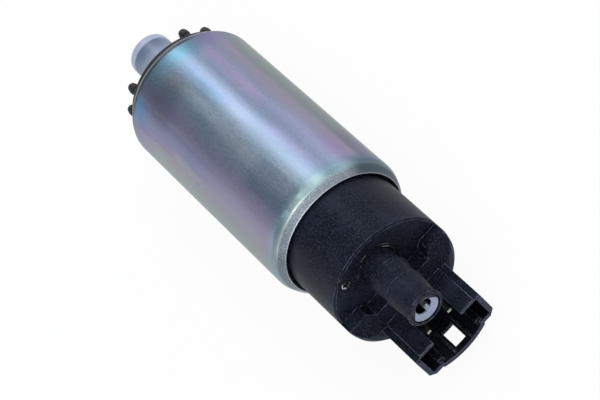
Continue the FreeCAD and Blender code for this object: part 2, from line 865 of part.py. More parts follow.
def pump_casing():
    body = cylinder(body_radius, pump_face_x, casing_x)
    pocket = cylinder(channel_radius, pump_face_x - 1, pocket_x)
    channel = flow_channel(pocket_x - running_gap, pocket_x + channel_depth)
    seat = cylinder(bearing_radius + press_gap, lower_bearing_x, casing_x + 1)
    bore = cylinder(shaft_radius + soft_gap, pocket_x - 1, casing_x + 1)
    y, z = polar(impeller_radius - discharge_inset, discharge_angle)
    port = cylinder(discharge_radius, pocket_x, casing_x + 1, y, z)
    return body.cut([pocket, channel, seat, bore, port]).removeSplitter()


def inlet_cover():
    flange = cylinder(body_radius, inlet_flange_start_x, pump_face_x)
    spigot = cylinder(spigot_radius, spigot_x, pump_face_x)
    tube = cylinder(inlet_radius, inlet_end_x, spigot_x + 1, 0, inlet_offset)
    boss = cylinder(vent_boss_radius, pad_x, spigot_x + 1, vent_y, vent_z)
    body = flange.fuse([spigot, tube, boss])
    channel = flow_channel(pump_face_x - channel_depth, pump_face_x + running_gap)
    bore = cylinder(inlet_bore_radius, inlet_end_x - 1, pump_face_x - channel_depth, 0, inlet_offset)
    port_x = pump_face_x - channel_depth * 2
    port = block(port_x, pump_face_x + 1, -port_half_width, port_half_width,
                 inlet_offset - port_half_width, body_radius)
    port = port.common(cylinder(channel_radius, port_x, pump_face_x + 1))
    shaft_space = cylinder(shaft_radius + soft_gap, shaft_start_x - soft_gap, pump_face_x + 1)
    pad_seat = cylinder(thrust_pad_radius + press_gap, shaft_start_x - thrust_pad_thickness - running_gap,
                        shaft_start_x)
    vent = cylinder(vent_radius, pad_x - 1, pump_face_x + 1, vent_y, vent_z)
    return body.cut([channel, bore, port, shaft_space, pad_seat, vent]).removeSplitter()


def thrust_pad():
    top = shaft_start_x - running_gap
    return cylinder(thrust_pad_radius, top - thrust_pad_thickness, top)


def knob():
    """one mushroom knob of the rubber pad, standing along -X at angle zero"""
    tip_x = pad_x - knob_height
    head_x = tip_x + knob_head_radius
    outline = [(pad_x + pad_thickness / 2, knob_stem_radius), (head_x + knob_head_radius, knob_stem_radius)]
    outline += rounded(tip_x, knob_head_radius, knob_head_radius, knob_round_steps, out=-1)[:-1]
    outline += [(tip_x, knob_stem_radius / 4)]
    across = FreeCAD.Rotation(FreeCAD.Vector(0, 0, 1), AXIS)
    rings = [corners_around(FreeCAD.Vector(x, knob_circle, 0), r, knob_sides, across) for x, r in outline]
    faces = [Part.Face(Part.makePolygon(rings[0])), Part.Face(Part.makePolygon(rings[-1]))]
    for low, high in zip(rings, rings[1:]):
        for i in range(knob_sides):
            sheet = Part.makePolygon([low[i], low[i + 1], high[i + 1], high[i], low[i]])
            faces.append(Part.Face(sheet))
    shell = Part.makeShell(faces)
    shell.sewShape()
    return Part.makeSolid(shell)


def damper_pad():
    start = spigot_x - press_gap
    knobs = []
    for i in range(1, knob_count - 1):
        knobs.append(turned_about_axis(knob(), 90 + 360.0 * (i + 0.5) / knob_count))
    disc = cylinder(pad_radius, pad_x, start).fuse(knobs)
    nozzle_hole = cylinder(inlet_radius + slide_gap, pad_x - 1, start + 1, 0, inlet_offset)
    vent_hole = cylinder(vent_boss_radius + slide_gap, pad_x - 1, start + 1, vent_y, vent_z)
    return disc.cut([nozzle_hole, vent_hole])


def inlet_cap():
    """the push-on cap that closes the inlet until the pump is fitted"""
    inner_end = cap_end_x + cap_end_wall
    return turned(
        (cap_open_x, cap_inner_radius), (cap_open_x, cap_flange_radius),
        (cap_open_x - cap_flange_thickness, cap_flange_radius),
        (cap_open_x - cap_flange_thickness, cap_radius),
        *rounded(cap_end_x, cap_radius, cap_round, round_steps, out=-1),
        (cap_end_x, 0.0), (inner_end, 0.0), (inner_end, cap_inner_radius), z=inlet_offset,
    )


# Check valve and relief valve

def check_valve():
    rest = seat_x + press_gap
    cone_radius = min(valve_head_radius, seat_bore_radius - press_gap)
    return turned(
        (rest - valve_cone, 0.0), (rest - valve_cone, cone_radius - valve_cone), (rest, cone_radius),
        (rest, valve_head_radius), (rest + valve_head_thickness, valve_head_radius),
        (rest + valve_head_thickness, valve_stem_radius), (stem_end_x, valve_stem_radius), (stem_end_x, 0.0),
        z=nozzle_offset,
    )


def check_spring():
    return coil(valve_spring_radius, spring_wire, valve_head_x + press_gap * 2, retainer_x, spring_turns,
                z=nozzle_offset)


def check_retainer():
    radius = valve_bore_radius - press_gap
    dish_x = retainer_end_x - retainer_dish
    ring = turned(
        (retainer_x, radius - retainer_back_wall), (retainer_x, radius), (retainer_end_x, radius),
        (dish_x, retainer_inner_radius), (dish_x - retainer_throat, retainer_inner_radius), z=nozzle_offset,
    )
    hub = cylinder(retainer_hub_radius, retainer_x, spoke_x, 0, nozzle_offset)
    spoke = block(retainer_x, spoke_x, 0, retainer_inner_radius + 1, -retainer_spoke_width / 2,
                  retainer_spoke_width / 2)
    spokes = around(spoke, retainer_spoke_count, -90)
    for one in spokes:
        one.translate(FreeCAD.Vector(0, 0, nozzle_offset))
    stem_bore = cylinder(valve_stem_radius + running_gap, retainer_x - 1, spoke_x + 1, 0, nozzle_offset)
    return ring.fuse([hub] + spokes).cut(stem_bore).removeSplitter()


def relief_plunger():
    """seals the relief port with its blunt conical nose"""
    seat = relief_seat_x + press_gap
    nose = min(plunger_nose, relief_port_radius - press_gap)
    return turned(
        (seat - nose, 0.0), (seat - nose, nose / 3), (seat, nose), (seat, plunger_radius),
        (plunger_end_x, plunger_radius), (plunger_end_x, 0.0), y=relief_y, z=relief_z,
    )


def relief_spring():
    return spring_room(relief_bore_radius - spring_wire - slide_gap, plunger_end_x + press_gap,
                       relief_lip_x, relief_y, relief_z)


NODES = {
    "housing_can": housing_can,
    "cover_seal": cover_seal,
    "outlet_cover": outlet_cover,
    "terminal_positive": lambda: terminal(1),
    "terminal_negative": lambda: terminal(-1),
    "choke_core_positive": lambda: choke_core(1),
    "choke_core_negative": lambda: choke_core(-1),
    "choke_coil_positive": lambda: choke_coil(1),
    "choke_coil_negative": lambda: choke_coil(-1),
    "brush_plate": brush_plate,
    "upper_bearing": lambda: bearing(upper_bearing_x, upper_bearing_radius),
    "lower_bearing": lambda: bearing(lower_bearing_x, bearing_radius),
    "brush_positive": lambda: brush(1),
    "brush_negative": lambda: brush(-1),
    "brush_spring_positive": lambda: brush_spring(1),
    "brush_spring_negative": lambda: brush_spring(-1),
    "brush_lead_positive": lambda: brush_lead(1),
    "brush_lead_negative": lambda: brush_lead(-1),
    "shaft": shaft,
    "armature_core": armature_core,
    "armature_winding": armature_winding,
    "commutator_hub": commutator_hub,
    "commutator_segments": commutator_segments,
    "impeller": impeller,
    "magnet_upper": lambda: magnet(1),
    "magnet_lower": lambda: magnet(-1),
    "magnet_clip_right": lambda: magnet_clip(1),
    "magnet_clip_left": lambda: magnet_clip(-1),
    "pump_casing": pump_casing,
    "inlet_cover": inlet_cover,
    "thrust_pad": thrust_pad,
    "damper_pad": damper_pad,
    "inlet_cap": inlet_cap,
    "check_valve": check_valve,
    "check_spring": check_spring,
    "check_retainer": check_retainer,
    "relief_plunger": relief_plunger,
    "relief_spring": relief_spring,
}


def main():
    os.makedirs("parts", exist_ok=True)
    for name, make in NODES.items():
        shape = make()
        shape.exportStep(os.path.join("parts", name + ".step"))
        print(name, shape.ShapeType, len(shape.Solids), "solids", round(shape.Volume, 2), "mm3",
              "valid" if shape.isValid() else "NOT VALID")


main()
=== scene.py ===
import math

import bmesh
import bpy
from mathutils import Matrix, Vector


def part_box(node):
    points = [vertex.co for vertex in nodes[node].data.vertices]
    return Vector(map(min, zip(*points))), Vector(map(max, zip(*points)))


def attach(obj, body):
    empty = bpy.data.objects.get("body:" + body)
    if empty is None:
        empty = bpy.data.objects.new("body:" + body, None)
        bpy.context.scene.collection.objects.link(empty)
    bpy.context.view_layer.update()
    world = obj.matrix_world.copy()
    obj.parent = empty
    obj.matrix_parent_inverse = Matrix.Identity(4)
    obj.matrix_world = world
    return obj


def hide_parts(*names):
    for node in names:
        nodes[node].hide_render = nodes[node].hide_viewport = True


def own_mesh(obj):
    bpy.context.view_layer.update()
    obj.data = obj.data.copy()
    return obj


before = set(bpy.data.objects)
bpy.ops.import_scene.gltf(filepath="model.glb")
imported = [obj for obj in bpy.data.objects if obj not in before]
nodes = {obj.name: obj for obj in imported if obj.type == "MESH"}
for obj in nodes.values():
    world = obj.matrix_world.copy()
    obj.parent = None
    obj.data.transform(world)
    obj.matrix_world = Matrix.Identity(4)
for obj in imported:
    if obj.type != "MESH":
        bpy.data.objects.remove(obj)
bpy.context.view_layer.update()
scene = bpy.context.scene

MM = 0.001
X, Y, Z = 0, 1, 2


# Sizes in millimetres, taken from the CAD nodes' boxes where a box gives them

def span(node, axis):
    """a node's lowest and highest place along an axis"""
    low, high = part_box(node)
    return round(low[axis] / MM, 2), round(high[axis] / MM, 2)


def centre(node, axis):
    low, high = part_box(node)
    return round((low[axis] + high[axis]) / 2 / MM, 2)


# Can: its wall, the rolled-in crimps with their leaning lips, and the seats inside
HALF_CAN = span("housing_can", X)[1]
CAN_RADIUS = span("housing_can", Z)[1]
CAN_WALL = 1.2
OUTLET_CRIMP = 3.9
OUTLET_CRIMP_DEPTH = 1.88
INLET_CRIMP = 2.1
INLET_CRIMP_DEPTH = 1.3
LIP_LENGTH = 0.77
LIP_DROP = 0.64
OUTLET_SEAT = HALF_CAN - 4.2
INLET_SEAT = -HALF_CAN + 2.4

# Pad with its two holes and its knobs
KNOB_TIP, PAD_BACK = span("damper_pad", X)
KNOB_LENGTH = 4.1
PAD_FRONT = KNOB_TIP + KNOB_LENGTH
PAD_RADIUS = span("damper_pad", Z)[1]
PAD_HOLE = 4.63
VENT_HOLE = 2.28
VENT_Z = -10.0
KNOB_CIRCLE = 15.15
KNOB_PLACES = 14

# Transit cap
CAP_END, CAP_FLANGE = span("inlet_cap", X)
CAP_RADIUS = span("inlet_cap", Y)[1]
CAP_BARREL = 5.88
CAP_END_WALL = 1.7
INLET_Z = centre("inlet_cap", Z)

# Retainer and valve in the outlet nozzle; the stem runs a little off the nozzle's axis
NOZZLE_Z = centre("check_retainer", Z)
RETAINER_BACK = span("check_retainer", X)[0]
RETAINER_RADIUS = span("check_retainer", Y)[1]
DISH_EDGE = 2.74
VALVE_BACK = span("check_valve", X)[0]
VALVE_RADIUS = span("check_valve", Y)[1]
STEM_RADIUS = 0.46
STEM_LENGTH = 13.16
STEM_Y = 0.45

# Outlet cover: end face, connector shroud with its socket, and the relief valve's port
END_FACE = HALF_CAN + 18.1
SHROUD_FRONT = span("outlet_cover", X)[1]
ROOF_SETBACK = 0.7
ROOF_UNDERSIDE = -5.2
SOCKET_DEPTH = 13.8
SOCKET_HALF_WIDTH = 9.4
TERMINAL_TIP = span("terminal_positive", X)[1]
RELIEF_Y = centre("relief_plunger", Y)
RELIEF_Z = centre("relief_plunger", Z)


# Material helpers

def srgb(code):
    """a colour written as six hexadecimal digits, made linear"""
    parts = [int(code[i:i + 2], 16) / 255 for i in (0, 2, 4)]
    return tuple(p / 12.92 if p < 0.04045 else ((p + 0.055) / 1.055) ** 2.4 for p in parts)


def rgba(colour):
    """four numbers for a socket, from a code or from three linear values"""
    return (*(srgb(colour) if isinstance(colour, str) else colour), 1.0)


class Graph:
    """Builds one procedural material."""

    def __init__(self, name):
        self.material = bpy.data.materials.new(name)
        self.material.use_nodes = True
        self.tree = self.material.node_tree
        self.tree.nodes.clear()
        self.out = self.tree.nodes.new("ShaderNodeOutputMaterial")
        self.shader = self.tree.nodes.new("ShaderNodeBsdfPrincipled")
        self.link(self.shader.outputs[0], self.out.inputs["Surface"])
        self.place = self.node("ShaderNodeTexCoord").outputs["Object"]

    def node(self, kind, **settings):
        made = self.tree.nodes.new(kind)
        for key, value in settings.items():
            setattr(made, key, value)
        return made

    def link(self, source, target):
        self.tree.links.new(source, target)

    def put(self, target, value):
        if isinstance(value, bpy.types.NodeSocket):
            self.link(value, target)
        else:
            target.default_value = value

    def set(self, **values):
        """values for the shader's own sockets, such as Base_Color or Roughness"""
        for key, value in values.items():
            if isinstance(value, tuple):
                value = rgba(value)
            self.put(self.shader.inputs[key.replace("_", " ")], value)

    def drive(self, name, socket):
        self.link(socket, self.shader.inputs[name])

    def math(self, operation, a, b=0.0, c=0.0):
        made = self.node("ShaderNodeMath", operation=operation)
        for target, value in zip(made.inputs, (a, b, c)):
            self.put(target, value)
        return made.outputs[0]

    def product(self, first, *others):
        for other in others:
            first = self.math("MULTIPLY", first, other)
        return first

    def noise(self, scale, detail=2.0, rough=0.5, stretch=None, distortion=0.0):
        made = self.node("ShaderNodeTexNoise")
        source = self.place
        if stretch:
            mapping = self.node("ShaderNodeMapping")
            mapping.inputs["Scale"].default_value = stretch
            self.link(source, mapping.inputs["Vector"])
            source = mapping.outputs[0]
        self.link(source, made.inputs["Vector"])
        made.inputs["Scale"].default_value = scale
        made.inputs["Detail"].default_value = detail
        made.inputs["Roughness"].default_value = rough
        made.inputs["Distortion"].default_value = distortion
        return made.outputs[0]

    def sway(self, noise, width):
        """noise that swings about zero by half the width to each side"""
        return self.math("MULTIPLY_ADD", noise, width, -width / 2)

    def ramp(self, factor, stops, smooth=True):
        made = self.node("ShaderNodeValToRGB")
        ramp = made.color_ramp
        ramp.interpolation = "EASE" if smooth else "LINEAR"
        while len(ramp.elements) < len(stops):
            ramp.elements.new(0.5)
        for element, (position, colour) in zip(ramp.elements, stops):
            element.position = position
            element.color = rgba(colour)
        self.link(factor, made.inputs[0])
        return made.outputs[0]

    def range(self, value, low, high, to_low=0.0, to_high=1.0, smooth=True):
        made = self.node("ShaderNodeMapRange", interpolation_type="SMOOTHSTEP" if smooth else "LINEAR")
        for name, number in (("From Min", low), ("From Max", high), ("To Min", to_low), ("To Max", to_high)):
            made.inputs[name].default_value = number
        self.link(value, made.inputs["Value"])
        return made.outputs[0]

    def window(self, value, opens, open_from, open_to, closes):
        """0 up to opens, 1 from open_from to open_to, and 0 again from closes"""
        return self.math("MULTIPLY", self.range(value, opens, open_from), self.range(value, closes, open_to))

    def mix(self, factor, a, b, blend="MIX"):
        made = self.node("ShaderNodeMix", data_type="RGBA", blend_type=blend)
        self.put(made.inputs[0], factor)
        for target, value in ((made.inputs[6], a), (made.inputs[7], b)):
            self.put(target, rgba(value) if isinstance(value, (str, tuple)) else value)
        return made.outputs[2]

    def tint(self, colour, shade, strength, *masks):
        """mixes a shade in where all the masks are open"""
        return self.mix(self.product(strength, *masks), colour, shade)

    def split(self, origin=(0.0, 0.0, 0.0)):
        """x, y and z in millimetres, measured from an origin"""
        moved = self.node("ShaderNodeVectorMath", operation="MULTIPLY_ADD")
        self.link(self.place, moved.inputs[0])
        moved.inputs[1].default_value = (1 / MM, 1 / MM, 1 / MM)
        moved.inputs[2].default_value = [-part for part in origin]
        made = self.node("ShaderNodeSeparateXYZ")
        self.link(moved.outputs[0], made.inputs[0])
        return made.outputs

    def bump(self, height, depth, strength, normal=None):
        """bumps of a depth in millimetres"""
        made = self.node("ShaderNodeBump")
        made.inputs["Strength"].default_value = strength
        made.inputs["Distance"].default_value = depth * MM
        self.link(height, made.inputs["Height"])
        if normal is not None:
            self.link(normal, made.inputs["Normal"])
        return made.outputs[0]

    def surface(self, grain, smoothest, roughest, depth, strength, normal=None):
        """roughness and bumps that follow one noise"""
        self.drive("Roughness", self.range(grain, 0.3, 0.7, smoothest, roughest))
        self.drive("Normal", self.bump(grain, depth, strength, normal))

    def edges(self, radius):
        """1 along sharp edges and 0 on flats, and the rounded normal"""
        bevel = self.node("ShaderNodeBevel", samples=6)
        bevel.inputs["Radius"].default_value = radius * MM
        plain = self.node("ShaderNodeNewGeometry").outputs["Normal"]
        dot = self.node("ShaderNodeVectorMath", operation="DOT_PRODUCT")
        self.link(bevel.outputs[0], dot.inputs[0])
        self.link(plain, dot.inputs[1])
        return self.range(dot.outputs["Value"], 0.995, 0.90), bevel.outputs[0]


# Plated steel: x is millimetres along the can, and an angle is radians round it from +Z towards +Y

# Colours round the can, by parts of a turn with +Z at 0.5. They are partly the plating's tint and partly
# painted reflection: the dim stop at 0.448 and the pale one at 0.48 stand for dark and lit surroundings
# mirrored in the can
TARNISH_AND_REFLECTION_BANDS = (
    (0.00, "8f949c"), (0.14, "8b989a"), (0.25, "90a198"), (0.30, "90a198"), (0.345, "979a9e"),
    (0.385, "968fa4"), (0.420, "8b8baa"), (0.448, "8196a8"), (0.480, "a6b8c4"), (0.508, "96aec2"),
    (0.530, "8aa0ba"), (0.560, "8fa2c0"), (0.588, "98a1c0"), (0.612, "9094ac"), (0.635, "988fa4"),
    (0.665, "808b8a"), (0.700, "7d8e87"), (0.740, "9aa5a0"), (0.88, "938f9c"), (1.00, "8f949c"),
)

# Each long tint's red, green and blue factors, its window of angles and its window along the can. The purple
# and pink ones tint the plating; the ones that darken the sides and the dim stretch on the -Y side of the
# highlight are painted shade, and the one that lifts the highlight is painted light
LONG_TINTS_AND_SHADES = (
    ((0.70, 0.78, 0.90), (-0.88, -0.77, -0.62, -0.54), (-40.0, -36.0, -6.0, 12.0)),
    ((0.90, 0.92, 0.95), (-0.88, -0.77, -0.62, -0.54), (-6.0, 12.0, 26.0, 30.0)),
    ((1.32, 1.05, 1.10), (0.40, 0.50, 0.58, 0.68), (-29.5, -25.0, -4.0, 4.0)),
    ((0.96, 1.12, 1.22), (0.05, 0.12, 0.22, 0.30), (-27.0, -23.0, -10.0, -4.0)),
    ((0.84, 0.91, 0.88), (0.92, 1.08, 1.32, 1.42), (-40.0, -36.0, 29.0, 32.0)),
    ((0.88, 0.97, 0.93), (-1.45, -1.36, -1.20, -1.12), (-40.0, -36.0, 29.0, 32.0)),
    ((0.86, 0.80, 1.02), (-0.98, -0.92, -0.84, -0.78), (-31.0, -27.0, -16.0, -10.0)),
    ((1.16, 1.04, 1.10), (0.26, 0.32, 0.40, 0.48), (6.0, 12.0, 26.0, 29.0)),
    ((0.73, 0.77, 0.82), (-0.46, -0.36, -0.02, 0.06), (12.0, 17.5, 28.5, 30.5)),
    ((0.86, 0.76, 1.00), (0.94, 1.05, 1.25, 1.38), (14.0, 22.0, 30.5, 32.5)),
    ((1.02, 0.89, 1.02), (0.62, 0.70, 0.86, 0.94), (14.0, 22.0, 29.5, 31.5)),
)


def tarnish_and_painted_shade(g, x, angle, wobble):
    """wavy bands of colour round the can, partly painted reflection, patches over them, and two stretches of
    painted shade that dim the can at and beside its highlight, more towards the inlet end
    """
    slow = g.sway(g.noise(16.0, 1.0, 0.5, (1.0, 0.6, 0.6)), 0.6)
    turned = g.math("ADD", g.math("ADD", angle, wobble), slow)
    bands = g.ramp(g.math("MULTIPLY_ADD", turned, 1 / (2 * math.pi), 0.5), TARNISH_AND_REFLECTION_BANDS)
    patches = g.ramp(g.noise(42.0, 2.0, 0.55, (0.7, 1.0, 1.0), 0.8), [
        (0.30, "8496a6"), (0.48, "9a99ac"), (0.62, "a08fa6"), (0.75, "8f9c94"),
    ])
    colour = g.mix(0.28, bands, patches)
    wide_painted_shade = g.math("MULTIPLY", g.range(x, -13.0, -22.0), g.window(angle, -0.85, -0.5, 0.12, 0.3))
    narrow_painted_shade = g.math("MULTIPLY", g.range(x, 0.0, -14.0), g.window(angle, -0.02, 0.08, 0.16, 0.32))
    return g.tint(colour, "15202c", 0.34, g.math("MAXIMUM", wide_painted_shade, narrow_painted_shade))


def inlet_end_tints(g, colour, x, angle):
    """colours that gather towards the inlet end, and its rolled rim: grey, with a dark line of painted shade
    in the crease where the shoulder rolls in, strongest on the upper side
    """
    near_end = g.range(x, -23.5, -30.5)
    colour = g.tint(colour, "6aa9c4", 0.8, near_end, g.window(angle, -0.35, 0.1, 0.3, 0.65))
    colour = g.tint(colour, "6d8394", 0.55, g.range(x, -26.0, -32.5))
    colour = g.tint(colour, "8a80a8", 0.7, g.range(x, -18.0, -29.5), g.range(angle, -0.72, -0.98))
    colour = g.tint(colour, "6f8fae", 0.8, near_end, g.window(angle, -1.02, -0.82, -0.62, -0.45))
    colour = g.tint(colour, "8e84b2", 0.7, near_end, g.window(angle, 0.45, 0.75, 0.9, 1.15))
    uneven = g.sway(g.noise(190.0, 3.0, 0.7), 0.9)
    # rim colours; the darkest stop is painted shade in the crease
    rim = g.ramp(g.range(g.math("ADD", x, uneven), -31.4, -HALF_CAN, smooth=False), [
        (0.00, "5f6f7c"), (0.14, "46535f"), (0.22, "333e49"), (0.33, "4c5a64"), (0.48, "707e81"),
        (1.00, "7e8b88"),
    ], smooth=False)
    upper = g.math("MULTIPLY_ADD", g.window(angle, -1.15, -0.7, 0.35, 0.75), 0.75, 0.2)
    rolled = g.math("MULTIPLY", g.range(x, -31.0, -31.7), upper)
    return g.mix(g.math("MAXIMUM", rolled, g.range(x, -32.5, -33.2)), colour, rim)


def outlet_end_tints(g, colour, x, angle):
    """blue-green towards the outlet crimp, pale where the shoulder faces the light"""
    colour = g.tint(colour, "7da0ac", 0.65, g.range(x, 26.2, 31.2))
    glow = g.math("MULTIPLY_ADD", g.window(angle, -0.25, 0.1, 0.2, 0.45), 0.5, 0.15)
    glow = g.math("MULTIPLY", g.range(x, 28.5, 31.2), glow)
    front = g.product(0.6, g.range(x, 30.6, 31.8), g.window(angle, -1.25, -0.75, 0.15, 0.45))
    return g.mix(g.math("MAXIMUM", glow, front), colour, "b0cdc4")


def long_tints_and_shades(g, colour, x, angle, wave, wobble):
    """tints drawn out along the can, with edges that waver; some are painted shade and one is painted light,
    as listed in the table
    """
    angle = g.math("MULTIPLY_ADD", wobble, 0.25, angle)
    x = g.math("ADD", x, g.sway(wave, 4.0))
    for factors, angles, places in LONG_TINTS_AND_SHADES:
        mask = g.math("MULTIPLY", g.window(angle, *angles), g.window(x, *places))
        colour = g.mix(mask, colour, factors, "MULTIPLY")
    return colour


def crimp_finish(g, colour, x, angle, grain):
    """speckled grey on the rolled outlet crimp, with painted shade on two sides of it and on one side of the
    can just behind it; gives its mask too
    """
    crimp = g.range(x, 31.2, 32.1)
    speckled = g.ramp(grain, [(0.34, "5a636c"), (0.50, "9fa8b3"), (0.66, "dfe6ec")])
    rolled = g.mix(g.math("MULTIPLY_ADD", g.range(x, 32.1, 32.3), 0.7, 0.2), "9cb2b4", speckled)
    shade = g.window(angle, 0.6, 0.95, 1.6, 2.1)
    rolled = g.tint(rolled, "374a58", 0.68, shade)
    rolled = g.tint(rolled, "46545e", 0.5, g.window(angle, -1.9, -1.6, -1.05, -0.75))
    colour = g.mix(crimp, colour, rolled)
    return g.tint(colour, "3c4c58", 0.55, shade, g.range(x, 27.0, 31.0)), crimp


def painted_highlight_lines(g, colour, x, angle):
    """painted highlights: a broken line in the crimp's crease and a fine one on its lip; gives their mask too
    """
    crease = g.math("MULTIPLY", g.window(x, 31.6, 31.9, 32.0, 32.3), g.window(angle, -1.2, -0.75, -0.1, 0.3))
    crease = g.math("MULTIPLY", crease, g.range(g.noise(170.0, 3.0, 0.7), 0.36, 0.6, 0.35, 0.85))
    colour = g.mix(crease, colour, "f0faf0")
    upper = g.math("MULTIPLY", g.range(angle, 0.7, 0.2, 0.3, 1.0), g.range(angle, -1.0, -0.4, 0.3, 1.0))
    lip = g.math("MULTIPLY", g.range(x, HALF_CAN - 0.32, HALF_CAN - 0.22), upper)
    return g.tint(colour, "f4f6fa", 0.85, lip), g.math("MAXIMUM", crease, lip)


def wear_marks_and_glints(g, colour, x, angle):
    """one slanting scuff, and fine pale grain along the lit side, painted lighter there as glints"""
    scuff_x = -1.65
    scuff_round = -18.34
    slant_cos = 0.78
    slant_sin = 0.63
    shortness = 1.1
    thinness = 4.2
    along = g.math("SUBTRACT", x, scuff_x)
    across = g.math("MULTIPLY_ADD", angle, CAN_RADIUS, -scuff_round)
    length = g.math("SUBTRACT", g.math("MULTIPLY", along, slant_cos), g.math("MULTIPLY", across, slant_sin))
    width = g.math("ADD", g.math("MULTIPLY", along, slant_sin), g.math("MULTIPLY", across, slant_cos))
    reach = g.math("ADD", g.math("POWER", g.math("MULTIPLY", length, shortness), 2.0),
                   g.math("POWER", g.math("MULTIPLY", width, thinness), 2.0))
    scuff = g.range(g.math("ADD", reach, g.noise(1800.0, 2.0)), 1.5, 0.6, 0.0, 0.75)
    colour = g.mix(scuff, colour, "545f62")
    # fine grain, made pale only along the lit side as painted glints
    flecks = g.range(g.noise(3300.0, 2.0, 0.6), 0.54, 0.68)
    return g.tint(colour, "c2cede", 0.30, flecks, g.window(angle, -0.5, -0.12, 0.16, 0.42))


def plated_steel():
    """plating that shimmers in long bands, brushed all over and speckled on the outlet crimp"""
    g = Graph("plated_steel")
    x, y, z = g.split()
    angle = g.math("ARCTAN2", y, z)
    wave = g.noise(60.0, 3.0, 0.5, (0.35, 1.0, 1.0), 0.4)
    wobble = g.sway(wave, 0.5)
    grain = g.noise(5200.0, 3.0, 0.7)
    colour = tarnish_and_painted_shade(g, x, angle, wobble)
    colour = inlet_end_tints(g, colour, x, angle)
    colour = outlet_end_tints(g, colour, x, angle)
    colour = long_tints_and_shades(g, colour, x, angle, wave, wobble)
    # a patch of painted shade on the can just behind the outlet crimp, a little to the -Y side of +Z
    painted_shade_patch = g.math("MULTIPLY", g.window(angle, -0.32, -0.25, -0.12, -0.03),
                       g.window(x, 29.8, 30.4, 31.4, 31.8))
    colour = g.mix(painted_shade_patch, colour, (0.58, 0.54, 0.52), "MULTIPLY")
    colour, crimp = crimp_finish(g, colour, x, angle, grain)
    colour, lines = painted_highlight_lines(g, colour, x, angle)
    colour = wear_marks_and_glints(g, colour, x, angle)
    weave = g.noise(2300.0, 2.0, 0.6, (0.5, 1.0, 1.0))
    cross = g.noise(3900.0, 2.0, 0.65)
    fine = g.math("ADD", g.math("MULTIPLY", weave, 0.5), g.math("MULTIPLY", cross, 0.5))
    brushed = g.ramp(fine, [(0.38, (0.64, 0.64, 0.66)), (0.60, (1.0, 1.0, 1.0))])
    # the painted highlight lines are kept out of the brushing
    brushing = g.math("MULTIPLY", g.math("SUBTRACT", 1.0, lines), 0.42)
    g.drive("Base Color", g.mix(brushing, colour, brushed, "MULTIPLY"))
    rough = g.range(fine, 0.3, 0.7, 0.30, 0.46)
    g.drive("Roughness", g.math("ADD", rough, g.math("MULTIPLY", crimp, 0.12)))
    g.drive("Normal", g.bump(g.math("ADD", fine, g.math("MULTIPLY", grain, 0.4)), 0.03, 0.45))
    g.set(Metallic=1.0, Anisotropic=0.25)
    return g.material


# Plastics and rubber

def shroud_sheen_and_shade(g, colour, speck):
    """lighter roof edge and front faces of the connector shroud, partly rubbing and partly painted sheen, and
    painted shade in its socket
    """
    x, y, z = g.split((SHROUD_FRONT, 0.0, ROOF_UNDERSIDE))
    roof = g.window(z, -0.2, 0.0, 1.8, 2.2)
    roof_edge = g.math("MULTIPLY", g.range(x, -ROOF_SETBACK - 0.1, -ROOF_SETBACK - 0.02), roof)
    rubbed_and_sheen = g.math("MAXIMUM", roof_edge, g.range(x, -0.25, -0.05))
    colour = g.mix(g.math("MULTIPLY", rubbed_and_sheen, g.range(speck, 0.35, 0.6, 0.3, 0.75)), colour, "4a4c5c")
    # painted shade in the socket, between its walls and under its roof
    between_walls = g.range(g.math("ABSOLUTE", y), SOCKET_HALF_WIDTH + 0.1, SOCKET_HALF_WIDTH - 0.1)
    under_roof = g.range(z, 0.1, -0.1)
    in_socket = g.window(x, -SOCKET_DEPTH + 0.3, -SOCKET_DEPTH + 0.7, -0.5, -0.2)
    return g.tint(colour, "020305", 0.6, between_walls, under_roof, in_socket)


def black_plastic(name, base, lift, rough, wear, local_marks_and_light=None):
    """speckled moulding with pale scuffs along its edges"""
    g = Graph(name)
    speck = g.noise(2400.0, 4.0, 0.65)
    cloud = g.noise(130.0, 3.0, 0.55)
    colour = g.mix(g.range(speck, 0.44, 0.66), base, lift)
    colour = g.mix(g.range(cloud, 0.46, 0.72, 0.0, 0.5), colour, lift)
    if local_marks_and_light:
        colour = local_marks_and_light(g, colour, speck)
    edge, rounded = g.edges(0.24)
    scuffs = g.range(g.noise(420.0, 4.0, 0.75), 0.43, 0.60, 0.1, 1.0)
    g.drive("Base Color", g.tint(colour, "8a8ea6", wear, edge, scuffs))
    g.surface(speck, rough - 0.06, rough + 0.10, 0.06, 0.42, rounded)
    g.set(IOR=1.5, Specular_IOR_Level=0.11, Specular_Tint=(0.66, 0.78, 1.0))
    return g.material


def rubber(name, base):
    """dark rubber with pale dust"""
    g = Graph(name)
    dust = g.range(g.noise(260.0, 4.0, 0.6), 0.52, 0.72)
    g.drive("Base Color", g.tint(base, "4a4c58", 0.5, dust))
    g.surface(g.noise(3000.0, 3.0, 0.6), 0.42, 0.62, 0.03, 0.4)
    return g.material


def clear_cap():
    """pale at the closed end, darker where the inlet nozzle shows through, and lighter again towards the
    flange with a painted highlight
    """
    g = Graph("cap_plastic_look")
    x = g.split((CAP_END, 0.0, 0.0))[X]
    cloud = g.noise(240.0, 3.0, 0.55)
    # the last stops, towards the flange, are a painted highlight
    band = g.ramp(g.range(x, -0.15, 9.85, smooth=False), [
        (0.00, "d8d9f0"), (0.27, "cfdcf4"), (0.30, "7387a6"), (0.52, "8797b5"), (0.72, "b2bdd8"),
        (1.00, "bcc5de"),
    ], smooth=False)
    g.drive("Base Color", g.mix(g.range(cloud, 0.4, 0.7, 0.0, 0.25), band, "adbbd4"))
    g.drive("Roughness", g.range(cloud, 0.3, 0.7, 0.30, 0.38))
    g.set(Transmission_Weight=0.42, IOR=1.4)
    return g.material


